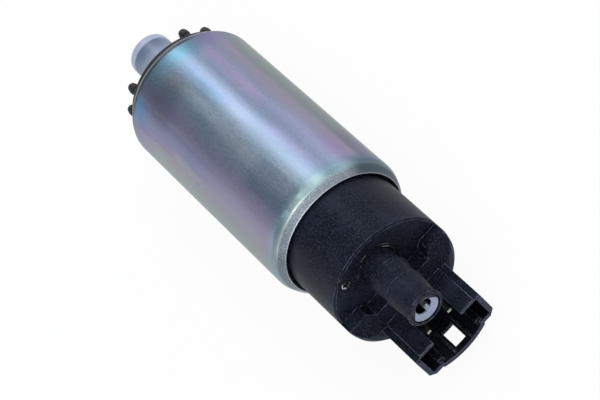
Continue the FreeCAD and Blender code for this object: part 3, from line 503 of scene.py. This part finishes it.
def retainer_plastic():
    """pale moulding, with a painted shadow over its upper half, painted shade down in the bore and a small
    painted glint on the ring's upper inner wall
    """
    g = Graph("retainer_look")
    x, y, z = g.split((RETAINER_BACK, STEM_Y, NOZZLE_Z))
    speck = g.noise(1500.0, 3.0, 0.6)
    pale = g.ramp(speck, [(0.3, "8e98b0"), (0.7, "aab5cd")])
    lean = g.math("MULTIPLY_ADD", x, 2.0, -2.0 * DISH_EDGE)
    ring_painted_shadow = g.range(g.math("ADD", z, lean), 0.6, 1.4)
    bar_painted_shadow = g.range(z, -2.0, 1.0)
    near_bar = g.range(g.math("ABSOLUTE", y), 1.3, 0.9)
    painted_shadow = g.math("ADD", g.math("MULTIPLY", bar_painted_shadow, near_bar),
                   g.math("MULTIPLY", ring_painted_shadow, g.math("SUBTRACT", 1.0, near_bar)))
    pale = g.tint(pale, "0f1015", 0.93, painted_shadow)
    ring_painted_glint = g.product(g.window(y, 0.25, 0.75, 1.65, 2.15), g.range(z, 1.4, 1.7), g.range(x, 3.0, 2.9))
    pale = g.tint(pale, "b4b9cc", 0.8, ring_painted_glint)
    # painted shade on the part of the ring down in the bore
    g.drive("Base Color", g.mix(g.range(x, 2.0, 1.6), pale, "0c0d11"))
    g.drive("Specular IOR Level", g.range(painted_shadow, 0.0, 1.0, 0.5, 0.06))
    g.surface(speck, 0.33, 0.46, 0.03, 0.35)
    return g.material


def valve_plastic():
    """moulding darkened with painted shade down in the bore, its stem's tip left pale and carrying a small
    painted glint
    """
    g = Graph("valve_look")
    x, y, z = g.split((VALVE_BACK + STEM_LENGTH, STEM_Y, NOZZLE_Z))
    speck = g.noise(1500.0, 3.0, 0.6)
    dark = g.ramp(speck, [(0.3, "08090c"), (0.7, "15171c")])
    pale = g.ramp(speck, [(0.3, "4a5163"), (0.7, "656c7e")])
    tip_painted_glint = g.product(g.range(x, -0.08, -0.03), g.range(y, 0.07, 0.17), g.window(z, -0.5, -0.4, 0.1, 0.2))
    tip = g.mix(tip_painted_glint, pale, "e4e7ee")
    g.drive("Base Color", g.mix(g.range(x, -1.18, -0.58), dark, tip))
    g.surface(speck, 0.24, 0.36, 0.03, 0.3)
    return g.material


def moulded_gloss():
    """glossy in patches, dull between them"""
    g = Graph("bead_look")
    speck = g.noise(2400.0, 3.0, 0.6)
    patch = g.noise(560.0, 1.0, 0.5)
    g.drive("Base Color", g.mix(g.range(speck, 0.4, 0.7), "0c0e14", "1b1f29"))
    g.drive("Roughness", g.range(patch, 0.50, 0.56, 0.55, 0.12))
    g.drive("Specular IOR Level", g.range(patch, 0.50, 0.56, 0.08, 1.0))
    g.drive("Normal", g.bump(speck, 0.02, 0.2))
    return g.material


# Metals, windings, magnets and carbon

def metal(name, colour, dark, rough, stretch=(1.0, 1.0, 1.0), scale=2200.0):
    """bare metal with fine marks, which a stretch draws out, and darker stains"""
    g = Graph(name)
    lines = g.noise(scale, 3.0, 0.6, stretch)
    stains = g.noise(240.0, 3.0, 0.55)
    tone = g.mix(g.range(lines, 0.3, 0.7, 0.0, 0.6), colour, dark)
    g.drive("Base Color", g.mix(g.range(stains, 0.5, 0.75, 0.0, 0.5), tone, dark))
    g.surface(lines, rough - 0.06, rough + 0.10, 0.02, 0.35)
    g.set(Metallic=1.0)
    return g.material


def tinned_brass():
    """dull blades with their tips painted pale as glints"""
    g = Graph("tin_look")
    x = g.split((TERMINAL_TIP, 0.0, 0.0))[X]
    lines = g.noise(2200.0, 3.0, 0.6, (0.15, 1.0, 1.0))
    dull = g.ramp(lines, [(0.35, "20221e"), (0.65, "585b54")])
    painted_glint_tin = g.ramp(lines, [(0.35, "c9ccc4"), (0.65, "f6f6ee")])
    g.drive("Base Color", g.mix(g.range(x, -0.2, -0.02), dull, painted_glint_tin))
    g.surface(lines, 0.22, 0.4, 0.02, 0.35)
    g.set(Metallic=0.85)
    return g.material


def eyelet_metal():
    """dark mottled cup, with a painted glint on its edge towards -Y"""
    g = Graph("eyelet_look")
    y = g.split((0.0, RELIEF_Y, 0.0))[Y]
    speck = g.noise(1300.0, 2.0, 0.6)
    dark = g.mix(speck, "15181b", "4c5350")
    # painted glint on the -Y side of the cup's edge
    g.drive("Base Color", g.mix(g.range(y, -0.41, -0.81), dark, "c4c6d0"))
    g.drive("Roughness", g.range(speck, 0.3, 0.7, 0.16, 0.3))
    g.set(Metallic=1.0)
    return g.material


def winding(name):
    """enamelled copper laid in turns"""
    g = Graph(name)
    x, y, z = g.split()
    angle = g.math("ARCTAN2", y, z)
    lay = g.math("ADD", g.math("MULTIPLY", x, 9.0), g.math("MULTIPLY", angle, 16.0))
    wires = g.math("SINE", g.math("ADD", lay, g.math("MULTIPLY", g.noise(300.0, 2.0), 6.0)))
    g.drive("Base Color", g.ramp(g.range(wires, -1.0, 1.0), [(0.0, "5a2d12"), (0.8, "b9683a")]))
    g.drive("Normal", g.bump(wires, 0.06, 0.8))
    g.set(Metallic=0.8, Roughness=0.32, Coat_Weight=0.5)
    return g.material


def ceramic(name, base, light):
    """fine-grained and dull"""
    g = Graph(name)
    grain = g.noise(3200.0, 4.0, 0.7)
    g.drive("Base Color", g.mix(g.range(grain, 0.4, 0.8), base, light))
    g.surface(grain, 0.5, 0.75, 0.04, 0.5)
    return g.material


# Which material each CAD node wears

# a darker copy of the cover plastic, as painted shade, for the lip inside the outlet nozzle's mouth
mouth_shaded_black = black_plastic("mouth_shaded_look", "07090d", "0f1219", 0.5, 0.1)
bead_black = moulded_gloss()
eyelet_steel = eyelet_metal()
copper = metal("copper_look", "c9784e", "8d4a2c", 0.3, (1.0, 0.2, 0.2))
spring_steel = metal("spring_steel_look", "c3c4c8", "8c8d92", 0.22)
worn_by = {
    plated_steel(): ["housing_can"],
    black_plastic("cover_look", "0b0e15", "2a303f", 0.44, 0.8, shroud_sheen_and_shade): ["outlet_cover", "inlet_cover"],
    black_plastic("inner_plastic_look", "2a2a2a", "3a3a3a", 0.5, 0.3): [
        "brush_plate", "commutator_hub", "impeller", "pump_casing"],
    rubber("pad_look", "0e0e13"): ["damper_pad"],
    rubber("seal_look", "101014"): ["cover_seal"],
    clear_cap(): ["inlet_cap"],
    retainer_plastic(): ["check_retainer"],
    valve_plastic(): ["check_valve"],
    metal("bronze_look", "b08a4a", "7d5c2c", 0.45, scale=3600.0): ["upper_bearing", "lower_bearing"],
    copper: ["commutator_segments", "brush_lead_positive", "brush_lead_negative"],
    metal("ground_steel_look", "b4b6ba", "808288", 0.24, (0.1, 1.0, 1.0)): [
        "shaft", "armature_core", "thrust_pad"],
    spring_steel: [
        "brush_spring_positive", "brush_spring_negative", "magnet_clip_right", "magnet_clip_left",
        "check_spring", "relief_plunger", "relief_spring"],
    tinned_brass(): ["terminal_positive", "terminal_negative"],
    winding("winding_look"): ["armature_winding", "choke_coil_positive", "choke_coil_negative"],
    ceramic("ferrite_look", "35353a", "4b4b50"): [
        "magnet_upper", "magnet_lower", "choke_core_positive", "choke_core_negative"],
    ceramic("carbon_look", "28282a", "424244"): ["brush_positive", "brush_negative"],
}
looks = {name: material for material, names in worn_by.items() for name in names}
for name, node in nodes.items():
    node.data.materials.clear()
    node.data.materials.append(looks[name])


# Mesh helpers: turned forms are drawn as (x, radius) or (x, radius, rounding) in millimetres

def placed(start, points):
    """an outline whose x runs from a start"""
    return [(start + point[0], *point[1:]) for point in points]


def soften(points, steps=5):
    """rounds the corners that carry a third number"""
    line = []
    longest_share = 0.49
    for i, point in enumerate(points):
        here = Vector(point[:2])
        rounding = point[2] if len(point) > 2 else 0.0
        if not rounding:
            line.append(here)
            continue
        before = Vector(points[i - 1][:2]) - here
        after = Vector(points[(i + 1) % len(points)][:2]) - here
        wanted = rounding / math.tan(before.angle(after) / 2)
        reach = min(wanted, before.length * longest_share, after.length * longest_share)
        start = here + before.normalized() * reach
        end = here + after.normalized() * reach
        for step in range(steps + 1):
            t = step / steps
            line.append(start * (1 - t) ** 2 + here * (2 * t * (1 - t)) + end * t ** 2)
    return line


def finish_mesh(name, shape, material, crease=32.0):
    """makes the piece, smooth but for edges sharper than the crease angle in degrees"""
    bmesh.ops.remove_doubles(shape, verts=shape.verts, dist=1e-7)
    bmesh.ops.recalc_face_normals(shape, faces=shape.faces)
    for face in shape.faces:
        face.smooth = True
    for edge in shape.edges:
        if len(edge.link_faces) == 2 and edge.calc_face_angle(0.0) > math.radians(crease):
            edge.smooth = False
    mesh = bpy.data.meshes.new(name)
    shape.to_mesh(mesh)
    shape.free()
    mesh.materials.append(material)
    piece = bpy.data.objects.new(name, mesh)
    scene.collection.objects.link(piece)
    return piece


def sweep_round(shape, line, segments, y=0.0, z=0.0, closed=True):
    """adds a turned form about the line through y, z along X"""
    rings = []
    for x, radius in line:
        if radius < 1e-6:
            rings.append([shape.verts.new((x * MM, y * MM, z * MM))] * segments)
            continue
        ring = []
        for i in range(segments):
            turn = 2 * math.pi * i / segments
            ring.append(shape.verts.new((x * MM, (y + radius * math.cos(turn)) * MM,
                                         (z + radius * math.sin(turn)) * MM)))
        rings.append(ring)
    pairs = list(zip(rings, rings[1:]))
    if closed:
        pairs.append((rings[-1], rings[0]))
    for low, high in pairs:
        for i in range(segments):
            j = (i + 1) % segments
            corners = []
            for vert in (low[i], low[j], high[j], high[i]):
                if vert not in corners:
                    corners.append(vert)
            if len(corners) > 2:
                shape.faces.new(corners)
    return rings


def lathe(name, points, material, segments, y=0.0, z=0.0):
    shape = bmesh.new()
    sweep_round(shape, soften(points), segments, y, z)
    return finish_mesh(name, shape, material)


def tube(shape, path, outward, radius, sides=10):
    """adds a round strand along a path; outward gives a side direction at each point"""
    last = len(path) - 1
    rings = []
    for i, point in enumerate(path):
        along = (path[min(i + 1, last)] - path[max(i - 1, 0)]).normalized()
        across = (outward[i] - along * outward[i].dot(along)).normalized()
        over = along.cross(across)
        ring = []
        for k in range(sides):
            turn = 2 * math.pi * k / sides
            side = across * math.cos(turn) + over * math.sin(turn)
            ring.append(shape.verts.new((point + side * radius) * MM))
        rings.append(ring)
    for low, high in zip(rings, rings[1:]):
        for k in range(sides):
            j = (k + 1) % sides
            shape.faces.new((low[k], low[j], high[j], high[k]))
    shape.faces.new(rings[0][::-1])
    shape.faces.new(rings[-1])


# Can, pad and cap

def can_piece():
    """tube with rounded shoulders, rolled in to a leaning lip at both ends"""
    bore = CAN_RADIUS - CAN_WALL
    near_lip = HALF_CAN - LIP_LENGTH
    inlet_lip = CAN_RADIUS - INLET_CRIMP_DEPTH
    inlet_bend = 0.95
    inlet_bend_drop = 0.5
    outlet_lip = CAN_RADIUS - OUTLET_CRIMP_DEPTH
    outlet_bend = 1.87
    outlet_bend_drop = 0.76
    outline = [
        (-HALF_CAN + INLET_CRIMP, CAN_RADIUS, 4.5),
        (-HALF_CAN + inlet_bend, CAN_RADIUS - inlet_bend_drop, 2.4),
        (-HALF_CAN, inlet_lip, 0.22), (-near_lip, inlet_lip - LIP_DROP, 0.12),
        (INLET_SEAT, bore), (OUTLET_SEAT, bore),
        (near_lip, outlet_lip - LIP_DROP, 0.12), (HALF_CAN, outlet_lip, 0.22),
        (HALF_CAN - outlet_bend, CAN_RADIUS - outlet_bend_drop, 2.4),
        (HALF_CAN - OUTLET_CRIMP, CAN_RADIUS, 2.6),
    ]
    return lathe("can_shell", outline, looks["housing_can"], 192)


def knob_outline():
    """mushroom: a domed head on a neck that widens at the pad"""
    neck = 1.0
    foot = 1.25
    head = placed(KNOB_TIP, [
        (0.0, 0.0), (0.0, 0.75, 0.5), (0.42, 1.12, 0.6), (1.4, 1.4, 1.2), (2.45, 1.38, 0.5),
    ])
    root = placed(PAD_FRONT, [(-1.25, neck, 0.15), (-0.25, neck, 0.2), (0.0, foot), (0.5, foot), (0.5, 0.0)])
    return head + root


def pad_piece():
    """disc with two holes and a ring of knobs; the ring's first and last places stay free"""
    shape = bmesh.new()
    edge_radius = 0.25
    rim = [(PAD_BACK, PAD_RADIUS), (PAD_FRONT + edge_radius, PAD_RADIUS),
           (PAD_FRONT + 0.07, PAD_RADIUS - 0.07), (PAD_FRONT, PAD_RADIUS - edge_radius)]
    outer = sweep_round(shape, rim, 128, closed=False)
    loops = [(outer[0], outer[-1])]
    for radius, z in ((PAD_HOLE, INLET_Z), (VENT_HOLE, VENT_Z)):
        wall = sweep_round(shape, [(PAD_BACK, radius), (PAD_FRONT, radius)], 64, z=z, closed=False)
        loops.append((wall[0], wall[-1]))
    for end in (0, 1):
        edges = []
        for loop in loops:
            ring = loop[end]
            for i, vert in enumerate(ring):
                edges.append(shape.edges.get((vert, ring[(i + 1) % len(ring)])))
        bmesh.ops.triangle_fill(shape, use_beauty=True, use_dissolve=False, edges=edges)
    knob = soften(knob_outline())
    for i in range(1, KNOB_PLACES - 1):
        turn = math.radians(90 + 360 * (i + 0.5) / KNOB_PLACES)
        sweep_round(shape, knob, 32, KNOB_CIRCLE * math.cos(turn), KNOB_CIRCLE * math.sin(turn), closed=False)
    return finish_mesh("rubber_pad", shape, looks["damper_pad"], 40.0)


def cap_piece():
    """cup with a flange at its open end"""
    flange_back = CAP_FLANGE - 1.2
    bore_end = CAP_END + CAP_END_WALL
    outline = [
        (CAP_FLANGE, PAD_HOLE), (CAP_FLANGE, CAP_RADIUS, 0.15), (flange_back, CAP_RADIUS, 0.3),
        (flange_back, CAP_BARREL, 0.35), (CAP_END, CAP_BARREL, 1.3), (CAP_END, 0.0),
        (bore_end, 0.0), (bore_end, PAD_HOLE, 0.3),
    ]
    return lathe("transit_cap", outline, looks["inlet_cap"], 96, z=INLET_Z)


# Outlet nozzle's mouth and foot, and the relief valve's eyelet

def add_bar(shape, direction):
    """half of the bar across the retainer, chamfered in front, from its guide out to the ring"""
    half_width = 0.64
    chamfer = 0.2
    front = RETAINER_BACK + 2.62
    inner_end = 0.56
    outer_end = 2.7
    outline = [
        (-half_width, RETAINER_BACK), (half_width, RETAINER_BACK), (half_width, front - chamfer),
        (half_width - chamfer, front), (chamfer - half_width, front), (-half_width, front - chamfer),
    ]
    loops = []
    for reach in (inner_end, outer_end):
        z = NOZZLE_Z + reach * direction
        loops.append([shape.verts.new(Vector((x, STEM_Y - side * direction, z)) * MM) for side, x in outline])
    for i in range(len(outline)):
        j = (i + 1) % len(outline)
        shape.faces.new((loops[0][i], loops[0][j], loops[1][j], loops[1][i]))
    shape.faces.new(loops[0])
    shape.faces.new(loops[1][::-1])


def retainer_piece():
    """ring with a dished front and a bar across it that guides the valve's stem"""
    shape = bmesh.new()
    ring = placed(RETAINER_BACK, [
        (0.0, 3.5), (0.0, RETAINER_RADIUS), (2.9, RETAINER_RADIUS, 0.1), (2.94, 3.66), (3.35, 3.66, 0.04),
        (3.46, 3.6, 0.05), (DISH_EDGE, 2.2, 0.12), (2.4, 2.2), (1.8, 3.4),
    ])
    sweep_round(shape, soften(ring), 96, z=NOZZLE_Z)
    guide = placed(RETAINER_BACK, [
        (0.0, 0.5), (0.0, 0.74), (2.72, 0.7, 0.1), (2.76, 0.62, 0.03), (2.76, 0.5),
    ])
    sweep_round(shape, soften(guide), 48, y=STEM_Y, z=NOZZLE_Z)
    add_bar(shape, -1)
    add_bar(shape, 1)
    return finish_mesh("outlet_retainer", shape, looks["check_retainer"], 40.0)


def valve_piece():
    """head with its stem, thin where it runs in the guide"""
    shape = bmesh.new()
    thick_stem = 1.0
    head = placed(VALVE_BACK, [
        (0.0, 0.0), (0.0, 1.58, 0.2), (0.9, 2.48, 0.1), (0.9, VALVE_RADIUS, 0.2), (2.3, VALVE_RADIUS, 0.3),
        (2.3, thick_stem, 0.2), (7.68, thick_stem, 0.2), (7.68, 0.0),
    ])
    sweep_round(shape, soften(head), 64, z=NOZZLE_Z, closed=False)
    stem = placed(VALVE_BACK, [
        (7.18, 0.0), (7.18, STEM_RADIUS), (STEM_LENGTH - 0.1, STEM_RADIUS, 0.1), (STEM_LENGTH, 0.3, 0.06),
        (STEM_LENGTH, 0.0),
    ])
    sweep_round(shape, soften(stem), 32, y=STEM_Y, z=NOZZLE_Z, closed=False)
    return finish_mesh("outlet_valve", shape, looks["check_valve"])


def mouth_lip():
    """inner lip of the outlet nozzle, in front of the retainer, in a darker copy of the cover plastic as
    painted shade
    """
    line = placed(RETAINER_BACK, [
        (2.95, 4.04), (3.45, 4.04), (3.5, 3.9, 0.05), (3.42, 3.72, 0.1), (3.15, 3.68, 0.05),
    ])
    return lathe("nozzle_mouth_lip", line, mouth_shaded_black, 96, z=NOZZLE_Z)


def foot_beads():
    """two moulded beads round the foot of the outlet nozzle"""
    shape = bmesh.new()
    sides = 12
    for circle, size in ((4.93, 0.24), (5.6, 0.12)):
        bead = []
        for i in range(sides):
            turn = 2 * math.pi * i / sides
            bead.append((END_FACE + size * (0.35 + math.sin(turn)), circle + size * math.cos(turn)))
        sweep_round(shape, bead, 96, z=NOZZLE_Z)
    return finish_mesh("nozzle_foot_beads", shape, bead_black)


def relief_eyelet():
    """small metal cup pressed into the end face round the relief valve's port"""
    line = placed(END_FACE, [
        (-0.6, 0.62), (-0.6, 1.06), (-0.05, 1.06), (0.0, 1.28), (0.1, 1.3, 0.05), (0.16, 1.1, 0.08),
        (0.08, 0.78, 0.08), (-0.2, 0.62, 0.08),
    ])
    return lathe("relief_eyelet", line, eyelet_steel, 48, y=RELIEF_Y, z=RELIEF_Z)


# Springs and leads

def run_of(node, gap=0.0):
    """where a spring or lead lies: its start past a gap, its fixed end, and its axis' y and z"""
    start, end = span(node, X)
    return round(start + gap, 2), end, centre(node, Y), centre(node, Z)


def wound_spring(name, radius, wire, turns, run):
    shape = bmesh.new()
    start, end, y, z = run
    steps_a_turn = 24
    steps = steps_a_turn * turns
    path = []
    outward = []
    for i in range(steps + 1):
        turn = 2 * math.pi * i / steps_a_turn
        side = Vector((0.0, math.cos(turn), math.sin(turn)))
        path.append(Vector((start + wire + (end - start - 2 * wire) * i / steps, y, z)) + side * radius)
        outward.append(side)
    tube(shape, path, outward, wire)
    return finish_mesh(name, shape, spring_steel, 60.0)


def flat_braid(name, run):
    """three strands laid over each other in five turns"""
    shape = bmesh.new()
    start, end, y, z = run
    steps = 96
    strands = 3
    turns = 5
    for strand in range(strands):
        path = []
        for i in range(steps + 1):
            lay = 2 * math.pi * (turns * i / steps + strand / strands)
            path.append(Vector((start + (end - start) * i / steps, y + 0.1 * math.sin(2 * lay),
                                z + 0.3 * math.sin(lay))))
        tube(shape, path, [Vector((0.0, 1.0, 0.0))] * (steps + 1), 0.13)
    return finish_mesh(name, shape, copper, 60.0)


# Where each piece belongs

def new_piece(piece, body="pump"):
    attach(piece, body)


def stand_for(piece, node, body="pump"):
    new_piece(piece, body)
    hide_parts(node)


def squeezed(piece, node):
    """stands for a spring or lead, which shortens towards its fixed end as its joint moves; the piece gets a
    mesh of its own
    """
    stand_for(piece, node)
    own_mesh(piece)


stand_for(can_piece(), "housing_can")
stand_for(pad_piece(), "damper_pad")
stand_for(cap_piece(), "inlet_cap", "cap")
stand_for(retainer_piece(), "check_retainer")
stand_for(valve_piece(), "check_valve", "valve")

check_run = run_of("check_spring")
squeezed(wound_spring("check_coil", 2.05, 0.22, 5, check_run), "check_spring")
relief_run = run_of("relief_spring", 0.02)
squeezed(wound_spring("relief_coil", 1.2, 0.2, 5, relief_run), "relief_spring")
for side, end in (("right", "positive"), ("left", "negative")):
    spring_run = run_of(f"brush_spring_{end}", 0.04)
    squeezed(wound_spring(f"brush_coil_{side}", 1.6, 0.2, 7, spring_run), f"brush_spring_{end}")
    lead_run = run_of(f"brush_lead_{end}", 0.04)
    squeezed(flat_braid(f"brush_braid_{side}", lead_run), f"brush_lead_{end}")

new_piece(mouth_lip())
new_piece(foot_beads())
new_piece(relief_eyelet())


# Floor, lamps, world and camera, in metres

# Direction from the pump, distance, width and height, and watts of each lamp
LAMPS = {
    "key": ((-0.45, 0.42, 0.79), 0.9, (1.8, 0.2), 3.9),
    "side": ((-0.25, 0.95, 0.35), 1.0, (1.0, 0.5), 1.8),
    "low": ((-0.55, -0.85, 0.12), 1.0, (1.0, 0.35), 1.0),
    "top": ((0.05, -0.28, 0.96), 1.0, (0.5, 0.4), 1.6),
    "front": ((0.9, -0.35, 0.55), 1.0, (0.6, 0.6), 2.4),
}


def aim(thing, across, up, back, place):
    """puts a lamp or camera in place, looking against its back direction"""
    rows = [(across[i], up[i], back[i], place[i]) for i in (X, Y, Z)]
    thing.matrix_world = Matrix((*rows, (0.0, 0.0, 0.0, 1.0)))


def floor_material():
    """matt white that the camera and reflections see as an even white sheet"""
    g = Graph("floor_white")
    g.set(Base_Color=(0.86, 0.87, 0.89), Roughness=0.9)
    path = g.node("ShaderNodeLightPath").outputs
    seen = g.math("MAXIMUM", g.math("MULTIPLY", path["Is Camera Ray"], 0.94),
                  g.math("MULTIPLY", path["Is Glossy Ray"], 0.66))
    seen = g.math("MAXIMUM", seen, g.math("MULTIPLY", path["Is Transmission Ray"], 0.80))
    sheet = g.node("ShaderNodeEmission")
    sheet.inputs["Color"].default_value = (1.0, 1.0, 1.0, 1.0)
    sheet.inputs["Strength"].default_value = 1.0
    mixed = g.node("ShaderNodeMixShader")
    g.link(seen, mixed.inputs[0])
    g.link(g.shader.outputs[0], mixed.inputs[1])
    g.link(sheet.outputs[0], mixed.inputs[2])
    g.link(mixed.outputs[0], g.out.inputs["Surface"])
    return g.material


def add_floor():
    """a wide sheet that the can lies on"""
    mesh = bpy.data.meshes.new("floor")
    shape = bmesh.new()
    bmesh.ops.create_grid(shape, x_segments=1, y_segments=1, size=6.0)
    bmesh.ops.translate(shape, verts=shape.verts, vec=(0.0, 0.0, -CAN_RADIUS * MM))
    shape.to_mesh(mesh)
    shape.free()
    floor = bpy.data.objects.new("floor", mesh)
    scene.collection.objects.link(floor)
    mesh.materials.append(floor_material())


def add_lamp(name, direction, distance, size, watts):
    """a flat lamp that faces the pump, its width level with the pump's axis"""
    light = bpy.data.lights.new(name, "AREA")
    light.shape = "RECTANGLE"
    light.size, light.size_y = size
    light.energy = watts
    lamp = bpy.data.objects.new(name, light)
    scene.collection.objects.link(lamp)
    back = Vector(direction).normalized()
    across = (Vector((1.0, 0.0, 0.0)) - back * back.x).normalized()
    aim(lamp, across, back.cross(across), back, back * distance)


def add_world():
    """soft light from all round, a little blue"""
    world = bpy.data.worlds.new("studio")
    scene.world = world
    world.use_nodes = True
    backdrop = world.node_tree.nodes["Background"]
    backdrop.inputs["Color"].default_value = (0.90, 0.94, 1.0, 1.0)
    backdrop.inputs["Strength"].default_value = 0.45


def add_camera():
    """the photograph's camera, as fitted to the can, the nozzle and the shroud"""
    camera = bpy.data.objects.new("camera", bpy.data.cameras.new("camera"))
    scene.collection.objects.link(camera)
    camera.data.sensor_width = 36.0
    camera.data.lens = 125.96
    camera.data.clip_start = 0.02
    camera.data.clip_end = 30.0
    across = Vector((0.57081, 0.68093, -0.45881))
    back = Vector((0.62649, 0.0, 0.77943))
    aim(camera, across, back.cross(across), back, Vector((0.33716, -0.00138, 0.39867)))
    scene.camera = camera


add_floor()
add_world()
for name, (direction, distance, size, watts) in LAMPS.items():
    add_lamp(name, direction, distance, size, watts)
add_camera()
scene.view_settings.view_transform = "Standard"
